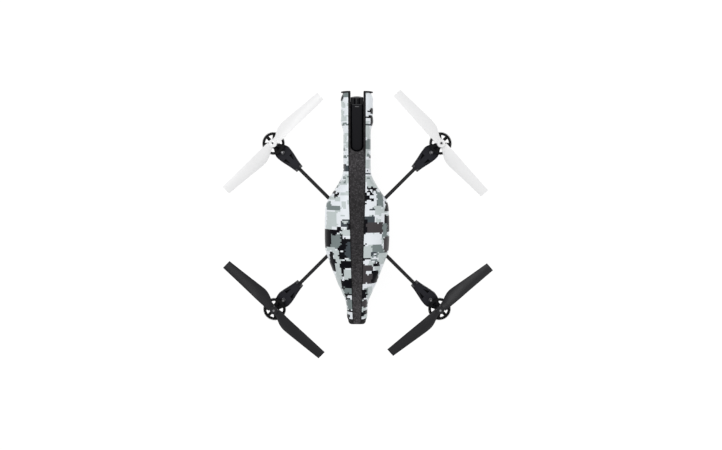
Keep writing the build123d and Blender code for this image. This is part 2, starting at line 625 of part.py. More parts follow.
def hull_section(y, inset, drop):
    """Slice across the hull: upright sides, rounded shoulders and a flat spine."""
    half = smooth(HALF_WIDTHS, y) - inset
    crown = smooth(CROWNS, y) - inset
    spine = min(smooth(SPINE_HALVES, y), half - 1)
    bottom = HULL_BOTTOM - drop
    waist = HULL_BOTTOM + SHOULDER_FROM * (crown - HULL_BOTTOM)
    arch = waist + SHOULDER_ARCH * (crown - waist)
    lean = spine + SHOULDER_LEAN * (half - spine)
    shoulder = Bezier((half, waist), (half, arch), (lean, crown), (spine, crown))
    outline = [Line((-half, bottom), (half, bottom)),
               Line((half, bottom), (half, waist)),
               shoulder,
               Line((spine, crown), (-spine, crown)),
               mirror(shoulder, about=Plane.YZ),
               Line((-half, waist), (-half, bottom))]
    return Plane(origin=(0, y, 0), x_dir=(1, 0, 0), z_dir=(0, -1, 0)) * make_face(outline)


def hull_solid(rear, front, inset, drop):
    """The hull's form from rear to front; every such solid shares its slices' places along the hull."""
    step = (NOSE_Y - TAIL_Y) / HULL_STEPS
    shared = [TAIL_Y + step * k for k in range(HULL_STEPS + 1)]
    between = [y for y in shared if rear + step / 4 < y < front - step / 4]
    return loft([hull_section(y, inset, drop) for y in [rear, *between, front]])


def spine_zone(margin):
    """The strip above the spine, nose to tail, wider by a margin on each side."""
    right = [(half + margin, y) for y, half in SPINE_HALVES]
    ends = [(right[0][0], TAIL_Y - PAST)] + right + [(right[-1][0], NOSE_Y + PAST)]
    left = [(-x, y) for x, y in reversed(ends)]
    return prism(ends + left, HULL_BOTTOM + 2 * PAST, HULL_TOP + PAST)


def round_ended(half, depth, front):
    """Plan outline of the camera's slot or cover: a strip with an elliptical rear end."""
    return [EllipticalCenterArc((0, COVER_FLANK), half, depth, 180, arc_size=180),
            Polyline((half, COVER_FLANK), (half, front), (-half, front), (-half, COVER_FLANK))]


def camera_slot():
    outline = round_ended(SLOT_HALF, SLOT_REAR_DEPTH, NOSE_Y + PAST)
    return prism(outline, HULL_BOTTOM - PAST, HULL_TOP + PAST)


def tail_corners():
    """What a rounded tail leaves out of the square one."""
    half = HALF_WIDTHS[0][1]
    front = TAIL_Y + TAIL_CORNER
    bottom = HULL_BOTTOM - PAST
    corner = block((half - TAIL_CORNER, half + PAST), (TAIL_Y - PAST, front), (bottom, HULL_TOP))
    corner -= post(TAIL_CORNER, bottom, HULL_TOP, half - TAIL_CORNER, front)
    return corner + mirror(corner, about=Plane.YZ)


def arm_notches():
    """Slots up from the hull's lower edge that let it drop over the tubes."""
    radius = TUBE_RADIUS + ARM_NOTCH
    start = CROSS_ARM_HALF
    end = ROTOR_REACH - PROPELLER_DIAMETER / 2 + NOTCH_IN_DISC
    notch = rod(radius, start, end)
    notch += block((start, end), (-radius, radius), (HULL_BOTTOM - PAST, TUBE_HEIGHT))
    return [on_arm(angle, notch) for angle in ARMS.values()]


def hull():
    """The foam shell and its two skins, left and right."""
    outer = hull_solid(TAIL_Y, NOSE_Y, 0, 0)
    shell = outer - hull_solid(TAIL_Y, NOSE_Y, HULL_SKIN, PAST)
    zone = block((-HULL_WIDTH, HULL_WIDTH), (TAIL_Y + RIM_AT_TAIL, NOSE_Y - RIM_AT_NOSE),
                 (HULL_BOTTOM - PAST, HULL_TOP + PAST))
    recess = (shell & zone) - spine_zone(0)
    skins = recess - spine_zone(SPINE_GROOVE) - camera_slot()
    cavity = hull_solid(TAIL_Y + 2 * HULL_FOAM, SLOT_REAR_Y - HULL_FOAM, HULL_SKIN + HULL_FOAM, PAST)
    foam = outer - recess - cavity - camera_slot() - tail_corners()
    for notch in arm_notches():
        foam -= notch
        skins -= notch
    skins = sorted(skins.solids(), key=lambda solid: solid.center().X)
    return foam, skins[0], skins[-1]


def belly_section(y):
    """Slice across the belly: flat on top at the seam, round below."""
    half = smooth(HALF_WIDTHS, y) - BELLY_INSET
    bottom = smooth(BELLY_RISE, y)
    flat = BELLY_FLAT * half
    side = HULL_BOTTOM - SHOULDER_FROM * (HULL_BOTTOM - bottom)
    lean = (half - BELLY_CORNER_LEAN, bottom + BELLY_CORNER_RISE)
    corner = Bezier((half, side), lean, (half * BELLY_CORNER, bottom), (flat, bottom))
    outline = [Line((-half, HULL_BOTTOM), (half, HULL_BOTTOM)),
               Line((half, HULL_BOTTOM), (half, side)),
               corner,
               Line((flat, bottom), (-flat, bottom)),
               mirror(corner, about=Plane.YZ),
               Line((-half, side), (-half, HULL_BOTTOM))]
    return Plane(origin=(0, y, 0), x_dir=(1, 0, 0), z_dir=(0, -1, 0)) * make_face(outline)


def belly_foam():
    length = BELLY_NOSE_Y - BELLY_TAIL_Y
    places = [BELLY_TAIL_Y + length * step / BELLY_STEPS for step in range(BELLY_STEPS + 1)]
    belly = loft([belly_section(y) for y in places])
    half, rear, front = BELLY_BAY
    belly -= block((-half, half), (rear, front), (BELLY_BOTTOM + BELLY_FLOOR, HULL_BOTTOM))
    for y in (-SENSOR_REACH, SENSOR_REACH):
        belly -= post(SENSOR_RADIUS + CLEARANCE, BELLY_BOTTOM - PAST, HULL_BOTTOM, 0, y)
    window = GROUND_CAMERA_SIZE / 2 + CLEARANCE
    return belly - block((-window, window), (-window, window), (BELLY_BOTTOM - PAST, HULL_BOTTOM))


# ---- nose camera ----

def cover_solid(inset):
    """The camera's long cover, round at the rear, on a wider foot."""
    outline = round_ended(COVER_HALF - inset, SLOT_REAR_DEPTH - COVER_GAP - inset, COVER_FRONT_Y)
    return prism(outline, HULL_BOTTOM, cover_top() - inset)


def cover_top():
    return smooth(CROWNS, COVER_FRONT_Y) - COVER_BELOW_CROWN


def camera_cover():
    cover = cover_solid(0)
    cover = fillet(cover.edges().group_by(Axis.Z)[-1].filter_by(Axis.Y), COVER_ROUND)
    foot = (HULL_BOTTOM, HULL_BOTTOM + COVER_FOOT)
    cover += block((-COVER_FOOT_HALF, COVER_FOOT_HALF), (COVER_FLANK, COVER_FRONT_Y), foot)
    return cover - cover_solid(COVER_WALL)


def lens_height():
    return (HULL_BOTTOM + cover_top()) / 2


def camera_bezel():
    """Glossy domed block across the front of the slot, with a hood on top, bored for the lens."""
    height = lens_height()
    length = BEZEL_FRONT_Y - COVER_FRONT_Y
    shoulder = cover_top() - BEZEL_SHOULDER
    blank = block((-BEZEL_HALF, BEZEL_HALF), (COVER_FRONT_Y, BEZEL_FRONT_Y), (HULL_BOTTOM, shoulder))
    hood = Cylinder(HOOD_RADIUS, length, align=UP)
    blank += Pos(0, COVER_FRONT_Y, cover_top() - HOOD_RADIUS) * Rot(-90, 0, 0) * hood
    dome = Pos(0, BEZEL_FRONT_Y - BEZEL_DOME, height) * Sphere(BEZEL_DOME)
    bore = Pos(0, COVER_FRONT_Y, height) * Rot(-90, 0, 0) * Cylinder(LENS_RADIUS, length, align=UP)
    return (blank & dome) - bore


def camera_lens():
    """Lens barrel from inside the cover to the bezel's front, with convex glass and a foot."""
    height = lens_height()
    back_y = COVER_FRONT_Y - LENS_BEHIND
    length = BEZEL_FRONT_Y - back_y
    barrel = Pos(0, back_y, height) * Rot(-90, 0, 0) * Cylinder(LENS_RADIUS - GLUE_GAP, length, align=UP)
    glass = Pos(0, BEZEL_FRONT_Y - LENS_SET_BACK - BEZEL_DOME, height) * Sphere(BEZEL_DOME)
    foot = block((-LENS_FOOT / 2, LENS_FOOT / 2), (back_y, back_y + LENS_FOOT), (HULL_BOTTOM, height))
    return (barrel & glass) + foot


# ---- write every node ----

def main():
    os.makedirs("parts", exist_ok=True)
    controllers, bushes, leads, screws = [], [], [], cross_screws()
    for arm, angle in ARMS.items():
        save(f"arm_tube_{arm}", on_arm(angle, arm_tube()))
        save(f"motor_mount_{arm}", on_arm(angle, motor_mount()))
        save(f"landing_foot_{arm}", on_arm(angle, landing_foot()))
        save(f"motor_can_{arm}", on_arm(angle, motor_can()))
        save(f"motor_shaft_{arm}", on_arm(angle, motor_shaft()))
        save(f"pinion_{arm}", on_arm(angle, pinion()))
        save(f"gear_{arm}", on_arm(angle, gear()))
        save(f"rotor_shaft_{arm}", on_arm(angle, rotor_shaft()))
        save(f"circlip_{arm}", on_arm(angle, circlip()))
        screw_blades = Rot(0, 0, BLADE_ANGLES[arm] - angle) * propeller(arm in CLOCKWISE)
        save(f"propeller_{arm}", on_arm(angle, Pos(ROTOR_REACH, 0, 0) * screw_blades))
        controllers.append(on_arm(angle, motor_controller()))
        bushes += [on_arm(angle, bush) for bush in shaft_bushes()]
        leads.append(on_arm(angle, motor_leads()))
        screws += [on_arm(angle, one) for one in skid_screws() + ear_screws()]
    save("motor_controllers", *controllers)
    save("shaft_bushes", *bushes)
    save("motor_leads", *leads)
    save("mount_screws", *screws)
    save("central_cross", central_cross())
    save("electronics_tray", electronics_tray())
    save("main_board", board(MAIN_BOARD, HULL_BOTTOM, MAIN_CHIPS))
    save("navigation_board", board(NAVIGATION_BOARD, MAIN_BOARD[2], NAVIGATION_CHIPS))
    save("ultrasound_sensors", *range_sensors())
    save("ground_camera", ground_camera())
    save("usb_socket", usb_socket())
    save("battery_pack", battery_pack())
    save("battery_strap", battery_strap())
    save("belly_foam", belly_foam())
    foam, left, right = hull()
    save("hull_foam", foam)
    save("hull_skin_left", left)
    save("hull_skin_right", right)
    save("camera_cover", camera_cover())
    save("camera_bezel", camera_bezel())
    save("camera_lens", camera_lens())


main()
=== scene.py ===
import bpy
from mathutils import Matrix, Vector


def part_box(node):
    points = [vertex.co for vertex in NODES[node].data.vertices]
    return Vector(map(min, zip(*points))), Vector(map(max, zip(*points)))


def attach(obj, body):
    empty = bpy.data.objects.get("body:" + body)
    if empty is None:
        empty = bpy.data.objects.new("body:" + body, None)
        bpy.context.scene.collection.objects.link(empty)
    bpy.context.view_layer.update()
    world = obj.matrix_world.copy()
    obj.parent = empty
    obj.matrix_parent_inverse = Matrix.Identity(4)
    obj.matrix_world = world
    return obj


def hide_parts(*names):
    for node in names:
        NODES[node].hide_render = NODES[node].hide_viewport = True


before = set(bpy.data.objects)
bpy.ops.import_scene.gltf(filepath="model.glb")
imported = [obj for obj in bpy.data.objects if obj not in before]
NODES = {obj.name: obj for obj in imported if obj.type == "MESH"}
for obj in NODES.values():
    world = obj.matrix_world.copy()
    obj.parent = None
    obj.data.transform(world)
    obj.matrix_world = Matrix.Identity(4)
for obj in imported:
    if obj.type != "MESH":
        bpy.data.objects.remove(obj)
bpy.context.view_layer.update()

import math

import bmesh
import bpy
from mathutils import Matrix, Vector, noise
from mathutils.bvhtree import BVHTree

# The drone lies nose up (+Y) under a camera that looks almost straight down. Everything is in metres.
MM = 0.001
ARMS = {"front_right": 45, "front_left": 135, "rear_left": 225, "rear_right": 315}
SCENE = bpy.context.scene


# ---- camera, light and floor ----

LENS = 41.1                     # focal length and sensor width in mm
SENSOR_WIDTH = 36
CLIP_NEAR, CLIP_FAR = 0.05, 10
CAMERA_PLACE = (-0.0003, 0.0819, 1.3185)
CAMERA_TURN = (math.radians(-3.64), math.radians(-0.29), 0)
SKY_STRENGTH = 0.6
# Softboxes: place, side of the square, watts.
KEY_LIGHT = ((-0.55, 0.6, 1.7), 0.9, 11)
FILL_LIGHT = ((0.9, -0.4, 1.6), 1.1, 4)
FLOOR_REACH = 4
FLOOR_SHADE = 0.12
FLOOR_GLOW = 0.94


def add_camera():
    data = bpy.data.cameras.new("camera")
    data.lens = LENS
    data.sensor_width = SENSOR_WIDTH
    data.clip_start, data.clip_end = CLIP_NEAR, CLIP_FAR
    camera = bpy.data.objects.new("camera", data)
    camera.location = CAMERA_PLACE
    camera.rotation_euler = CAMERA_TURN
    SCENE.collection.objects.link(camera)
    SCENE.camera = camera


def add_softbox(name, location, size, watts):
    """A square lamp aimed at the middle of the drone."""
    data = bpy.data.lights.new(name, "AREA")
    data.shape = "SQUARE"
    data.size = size
    data.energy = watts
    lamp = bpy.data.objects.new(name, data)
    lamp.location = location
    lamp.rotation_euler = (-Vector(location)).to_track_quat("-Z", "Y").to_euler()
    SCENE.collection.objects.link(lamp)


def add_lights():
    """Soft white light from the sky and two softboxes."""
    SCENE.view_settings.view_transform = "Standard"
    world = bpy.data.worlds.new("studio")
    world.use_nodes = True
    background = world.node_tree.nodes["Background"]
    background.inputs["Color"].default_value = (1, 1, 1, 1)
    background.inputs["Strength"].default_value = SKY_STRENGTH
    SCENE.world = world
    add_softbox("key_light", *KEY_LIGHT)
    add_softbox("fill_light", *FILL_LIGHT)


def add_floor():
    """A white floor that gives most of its own light, so that shadows on it stay faint."""
    reach = FLOOR_REACH
    corners = [(-reach, -reach, 0), (reach, -reach, 0), (reach, reach, 0), (-reach, reach, 0)]
    floor = bpy.data.meshes.new("floor")
    floor.from_pydata(corners, [], [(0, 1, 2, 3)])
    floor_object = bpy.data.objects.new("floor", floor)
    SCENE.collection.objects.link(floor_object)
    paint = bpy.data.materials.new("floor_white")
    paint.use_nodes = True
    shader = paint.node_tree.nodes["Principled BSDF"]
    shader.inputs["Base Color"].default_value = (FLOOR_SHADE, FLOOR_SHADE, FLOOR_SHADE, 1)
    shader.inputs["Roughness"].default_value = 1.0
    shader.inputs["Specular IOR Level"].default_value = 0.0
    shader.inputs["Emission Color"].default_value = (1, 1, 1, 1)
    shader.inputs["Emission Strength"].default_value = FLOOR_GLOW
    floor.materials.append(paint)


# ---- materials ----

class Paint:
    """A Principled material with short ways to add procedural colour, roughness and relief."""

    def __init__(self, name, color, roughness, metallic=0.0, specular=0.5, coat=0.0, coat_roughness=0.1):
        self.material = bpy.data.materials.new(name)
        self.material.use_nodes = True
        self.tree = self.material.node_tree
        self.shader = self.tree.nodes["Principled BSDF"]
        self.color = color
        settings = {"Base Color": (*color, 1), "Roughness": roughness, "Metallic": metallic,
                    "Specular IOR Level": specular, "Coat Weight": coat, "Coat Roughness": coat_roughness}
        for socket, value in settings.items():
            self.shader.inputs[socket].default_value = value
        self.relief = None
        self.where = self.tree.nodes.new("ShaderNodeTexCoord").outputs["Object"]

    def node(self, kind, inputs=(), **settings):
        """A new node, its sockets linked or set, its own settings given by name."""
        made = self.tree.nodes.new(kind)
        for key, value in settings.items():
            setattr(made, key, value)
        for socket, value in dict(inputs).items():
            if isinstance(value, bpy.types.NodeSocket):
                self.tree.links.new(value, made.inputs[socket])
            else:
                made.inputs[socket].default_value = value
        return made

    def compute(self, operation, *values):
        """The result of a Math node on sockets or numbers."""
        return self.node("ShaderNodeMath", dict(enumerate(values)), operation=operation).outputs[0]

    def height(self):
        """Height of the place that is being coloured."""
        return self.node("ShaderNodeSeparateXYZ", {"Vector": self.where}).outputs["Z"]

    def darken(self, color, share):
        """Links the base colour to a colour times a share."""
        inputs = {0: color, 1: share}
        darker = self.node("ShaderNodeVectorMath", inputs, operation="MULTIPLY").outputs[0]
        self.tree.links.new(darker, self.shader.inputs["Base Color"])

    def stretched(self, scale, turn=(0, 0, 0)):
        """The object's coordinates, turned and then scaled along each axis."""
        turned = self.node("ShaderNodeMapping", {"Vector": self.where, "Rotation": turn})
        return self.node("ShaderNodeMapping", {"Vector": turned.outputs[0], "Scale": scale}).outputs[0]

    def noise(self, size, detail=3.0):
        """Noise with features of about the given size in metres."""
        inputs = {"Vector": self.where, "Scale": 1 / size, "Detail": detail}
        return self.node("ShaderNodeTexNoise", inputs).outputs["Fac"]

    def beads(self, size, feature="F1"):
        """Cells of about the given size in metres."""
        return self.node("ShaderNodeTexVoronoi", {"Vector": self.where, "Scale": 1 / size}, feature=feature)

    def remap(self, value, low, high, to_low, to_high):
        """The value's range from low to high carried over to the second range, and held at its ends."""
        inputs = {"Value": value, "From Min": low, "From Max": high, "To Min": to_low, "To Max": to_high}
        return self.node("ShaderNodeMapRange", inputs).outputs[0]

    def shade(self, value, low, high):
        """Colours between dark and light versions of the base colour, by a value from 0 to 1."""
        ramp = self.node("ShaderNodeValToRGB", {"Fac": value})
        for stop, gain in zip(ramp.color_ramp.elements, (low, high)):
            stop.color = (*(min(1, part * gain) for part in self.color), 1)
        self.tree.links.new(ramp.outputs["Color"], self.shader.inputs["Base Color"])
        return ramp

    def gloss(self, value, low, high):
        """Roughness from low to high, by a value from 0 to 1."""
        self.tree.links.new(self.remap(value, 0, 1, low, high), self.shader.inputs["Roughness"])

    def bump(self, height, distance, strength=1.0):
        """Adds relief of the given depth in metres on top of what is there."""
        inputs = {"Height": height, "Distance": distance, "Strength": strength}
        made = self.node("ShaderNodeBump", inputs)
        if self.relief:
            self.tree.links.new(self.relief, made.inputs["Normal"])
        self.relief = made.outputs["Normal"]
        self.tree.links.new(self.relief, self.shader.inputs["Normal"])

    def soft_edges(self, radius):
        """Rounds the shading at sharp edges."""
        self.relief = self.node("ShaderNodeBevel", {"Radius": radius}, samples=4).outputs["Normal"]
        self.tree.links.new(self.relief, self.shader.inputs["Normal"])


# Half width of the hull's grey spine: share of the hull's length from the tail, and width in mm.
SPINE = [(0.0, 5.0), (0.1, 6.6), (0.36, 8.7), (0.53, 10.8), (0.73, 11.7), (0.745, 9.3), (1.0, 9.3)]
SPINE_SCALE = 20                # half width in mm that the curve's top stands for
SPINE_EDGE = (-0.4 * MM, 0.6 * MM)
EDGE_TONE_AND_SHADE = 0.3                 # of the foam outside the spine, its own dark edges plus painted shade in the groove beside the skins, beside 1 on the spine
# Painted shade on the hull foam by height: lighter at the shoulder, darker up to the crown.
FOAM_SHOULDER, FOAM_CROWN = 92 * MM, 106 * MM
SHOULDER_SHADE, CROWN_SHADE = 1.2, 0.72


def spine_share(paint):
    """Tone of the hull's foam: 1 on the grey spine, dark outside it, partly dark foam and partly painted
    shade in the groove.
    """
    low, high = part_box("hull_foam")
    place = paint.node("ShaderNodeSeparateXYZ", {"Vector": paint.where}).outputs
    curve = paint.node("ShaderNodeFloatCurve", {"Value": paint.remap(place["Y"], low.y, high.y, 0, 1)})
    line = curve.mapping.curves[0]
    for share, half in SPINE[1:-1]:
        line.points.new(share, half / SPINE_SCALE)
    line.points[0].location = (0, SPINE[0][1] / SPINE_SCALE)
    line.points[-1].location = (1, SPINE[-1][1] / SPINE_SCALE)
    curve.mapping.update()
    half = paint.remap(curve.outputs[0], 0, 1, 0, SPINE_SCALE * MM)
    inside = paint.compute("SUBTRACT", half, paint.compute("ABSOLUTE", place["X"]))
    return paint.remap(inside, *SPINE_EDGE, EDGE_TONE_AND_SHADE, 1)


def expanded_foam(name, color, bead, edges_and_painted_shade=False):
    """Moulded bead foam: packed beads with dark creases and a slightly different tone on each bead."""
    paint = Paint(name, color, 0.85, specular=0.25)
    cells = paint.beads(bead)
    tone = paint.node("ShaderNodeSeparateColor", {"Color": cells.outputs["Color"]}).outputs[0]
    crease = paint.remap(paint.beads(bead, "DISTANCE_TO_EDGE").outputs["Distance"], 0.0, 0.16, 0.0, 1.0)
    grain = paint.noise(0.9 * MM, 4)
    speckle = paint.compute("ADD", paint.compute("MULTIPLY", tone, crease), grain)
    beads = paint.shade(paint.remap(speckle, 0.35, 1.3, 0, 1), 0.35, 2.1)
    # Darker outside the spine, partly the foam's own dark edges and partly painted shade in the groove,
    # with painted shade by height.
    if edges_and_painted_shade:
        # Painted shade: the foam darkens with height towards the crown.
        height_shade = paint.remap(paint.height(), FOAM_SHOULDER, FOAM_CROWN, SHOULDER_SHADE, CROWN_SHADE)
        paint.darken(beads.outputs["Color"], paint.compute("MULTIPLY", spine_share(paint), height_shade))
    paint.gloss(grain, 0.75, 0.95)
    paint.bump(crease, 0.25 * MM, 0.8)
    paint.bump(grain, 0.12 * MM, 0.5)
    return paint.material


POCKET_SHADE = 0.12              # painted shade in a moulding's deep pockets, beside 1 on its top
POCKET_SHADE_FADE = 0.8 * MM


def moulded(name, color, roughness, specular=0.4, edge=0.25 * MM, coat=0.0, vary=0.12, shade_below=None):
    """Moulded plastic: a fine grain, faint flow marks, soft edges, and painted shade in pockets below a
    height.
    """
    paint = Paint(name, color, roughness, specular=specular, coat=coat)
    if edge:
        paint.soft_edges(edge)
    flow = paint.noise(9 * MM, 2)
    grain = paint.noise(0.35 * MM, 2)
    tone = paint.shade(flow, 1 - vary, 1 + vary)
    # Painted shade: darker below the given height, where the pockets lie.
    if shade_below:
        pocket_shade = paint.remap(paint.height(), shade_below - POCKET_SHADE_FADE, shade_below, POCKET_SHADE, 1)
        paint.darken(tone.outputs["Color"], pocket_shade)
    paint.gloss(flow, roughness - 0.05, roughness + 0.07)
    paint.bump(grain, 0.02 * MM, 0.35)
    return paint.material


def carbon_tube(name, angle):
    """Twill carbon with a dull shine, its weave laid along the arm's own direction."""
    paint = Paint(name, (0.026, 0.026, 0.027), 0.4, specular=0.08)
    along = paint.stretched((1 / MM, 1 / MM, 1 / MM), (0, 0, math.radians(-angle)))
    tows = paint.node("ShaderNodeTexWave", {"Vector": along, "Scale": 0.24, "Distortion": 0.0},
                      wave_type="BANDS", bands_direction="DIAGONAL").outputs["Fac"]
    inputs = {"Vector": along, "Scale": 1.6, "Detail": 3.0}
    fibres = paint.node("ShaderNodeTexNoise", inputs).outputs["Fac"]
    paint.shade(paint.compute("MULTIPLY", tows, fibres), 0.6, 1.7)
    paint.gloss(tows, 0.3, 0.5)
    paint.bump(tows, 0.03 * MM, 0.5)
    return paint.material


RING_STRETCH = (8000, 8000, 90000)


def turned_metal(name, color, roughness):
    """Turned or ground metal: fine rings along the part's upright axis."""
    paint = Paint(name, color, roughness, metallic=1.0)
    inputs = {"Vector": paint.stretched(RING_STRETCH), "Scale": 0.05, "Detail": 2.0}
    rings = paint.node("ShaderNodeTexNoise", inputs).outputs["Fac"]
    smudge = paint.noise(3 * MM, 3)
    paint.shade(smudge, 0.85, 1.1)
    paint.gloss(smudge, roughness - 0.08, roughness + 0.12)
    paint.bump(rings, 0.01 * MM, 0.4)
    return paint.material


def circuit_board():
    """Green mask over blocks of copper, with fine paler lines between them."""
    paint = Paint("circuit_board", (0.018, 0.11, 0.05), 0.35, specular=0.5)
    inputs = {"Vector": paint.where, "Scale": 420.0, "Mortar Size": 0.03, "Mortar": (0.9, 0.9, 0.9, 1),
              "Color1": (0.2, 0.2, 0.2, 1), "Color2": (0.45, 0.45, 0.45, 1)}
    traces = paint.node("ShaderNodeTexBrick", inputs).outputs["Color"]
    paint.shade(traces, 0.7, 1.9)
    paint.bump(traces, 0.03 * MM, 0.5)
    return paint.material


def woven_strap():
    """Webbing: threads crossing at right angles, with a little sheen."""
    paint = Paint("strap_webbing", (0.03, 0.03, 0.033), 0.9, specular=0.2)
    paint.shader.inputs["Sheen Weight"].default_value = 0.3
    inputs = {"Vector": paint.where, "Scale": 420.0}
    warp = paint.node("ShaderNodeTexWave", inputs, bands_direction="Y").outputs["Fac"]
    weft = paint.node("ShaderNodeTexWave", inputs, bands_direction="X").outputs["Fac"]
    weave = paint.compute("MULTIPLY", warp, weft)
    paint.shade(weave, 0.6, 1.8)
    paint.bump(weave, 0.15 * MM, 0.7)
    return paint.material


BATTERY_BAND_Y = -20 * MM
BATTERY_BAND_HALF = 6 * MM


def battery_case():
    """Black case with a plain grey band across it."""
    paint = Paint("battery_sleeve", (0.03, 0.03, 0.034), 0.5, specular=0.4)
    place = paint.node("ShaderNodeSeparateXYZ", {"Vector": paint.where}).outputs["Y"]
    band = paint.compute("COMPARE", place, BATTERY_BAND_Y, BATTERY_BAND_HALF)
    grain = paint.noise(0.5 * MM, 3)
    paint.shade(band, 1.0, 9.0)
    paint.gloss(grain, 0.42, 0.6)
    paint.bump(grain, 0.03 * MM, 0.5)
    return paint.material


LENS_PAINTED_REFLECTION = (0.05, 0.035, 0.11, 1)


def lens_glass():
    """Dark coated glass with a painted blue-violet reflection of its coating, growing towards its edge."""
    paint = Paint("lens_glass", (0.004, 0.004, 0.008), 0.06, specular=0.8, coat=1.0, coat_roughness=0.02)
    # Painted reflection: the colour turns blue-violet where the glass is seen at a slant.
    rim = paint.node("ShaderNodeLayerWeight", {"Blend": 0.35}).outputs["Facing"]
    ramp = paint.shade(rim, 1.0, 3.0)
    ramp.color_ramp.elements[1].color = LENS_PAINTED_REFLECTION
    return paint.material


def film(name, color):
    """Printed skin: satin lacquer with a faint orange peel and a trace of tonal variation."""
    pale = min(color) > 0.3
    paint = Paint(name, color, 0.32, specular=0.3 if pale else 0.07)
    paint.shade(paint.noise(14 * MM, 3), 0.94, 1.05)
    paint.gloss(paint.noise(5 * MM, 2), 0.25, 0.38)
    paint.bump(paint.noise(1.6 * MM, 2), 0.02 * MM, 0.3)
    return paint.material


TONES = {"white": (0.8, 0.84, 0.88), "frost": (0.53, 0.59, 0.59), "grey": (0.2, 0.24, 0.24),
         "slate": (0.055, 0.068, 0.078), "charcoal": (0.06, 0.054, 0.057), "black": (0.003, 0.003, 0.005)}


# ---- hull skins ----

CELL = 2.2 * MM                 # side of a camouflage square
SPLIT = 2                       # mesh squares along each side of a camouflage square
SKIN = 0.85 * MM
RAYS = 36
RAY_START = 0.12                # distance from the hull's middle line where the rays start
TOP_ANGLE = math.radians(88)    # the highest ray, up from the widest place
HALVINGS = 12                   # steps that close in on the skin's spine edge
SLICE_INSET = 0.05 * MM         # of the first and last slices from the skin's ends
SMOOTH_REACH = 3                # slices averaged on each side of a slice
MERGE = 0.02 * MM
SHARP = math.radians(35)
NOTCH_ABOVE_TUBE = 1.5 * MM
NOTCH_CLEAR = 0.8 * MM
NOTCH_DEPTH = 0.05
NOTCH_REACH = (0.03, 0.095)     # along the arm, out from the drone's middle
NOTCH_ARC = 12                  # steps round the top of a notch

# How far the camouflage's edges wander, in squares: from square to square, and in long drifts.
JAG = 0.6
DRIFT = 0.9
DRIFT_SEED = 7                  # the drifts are the same in every run
DRIFT_PACE, COARSE_PACE, WALL_PACE = 0.37, 0.21, 0.23
FROST_OVER = 0.25               # coarse noise above this turns a bare white square to frost
# Dark squares down the skins' upright walls: partly dark print, partly painted shade of walls that face
# sideways.
WALL_SHADE_OVER = 0.12
WALL_SHADE_FROM = 1.5 * CELL     # down the wall
WALL_LEAN = 0.5                 # how fast the patches widen down the wall
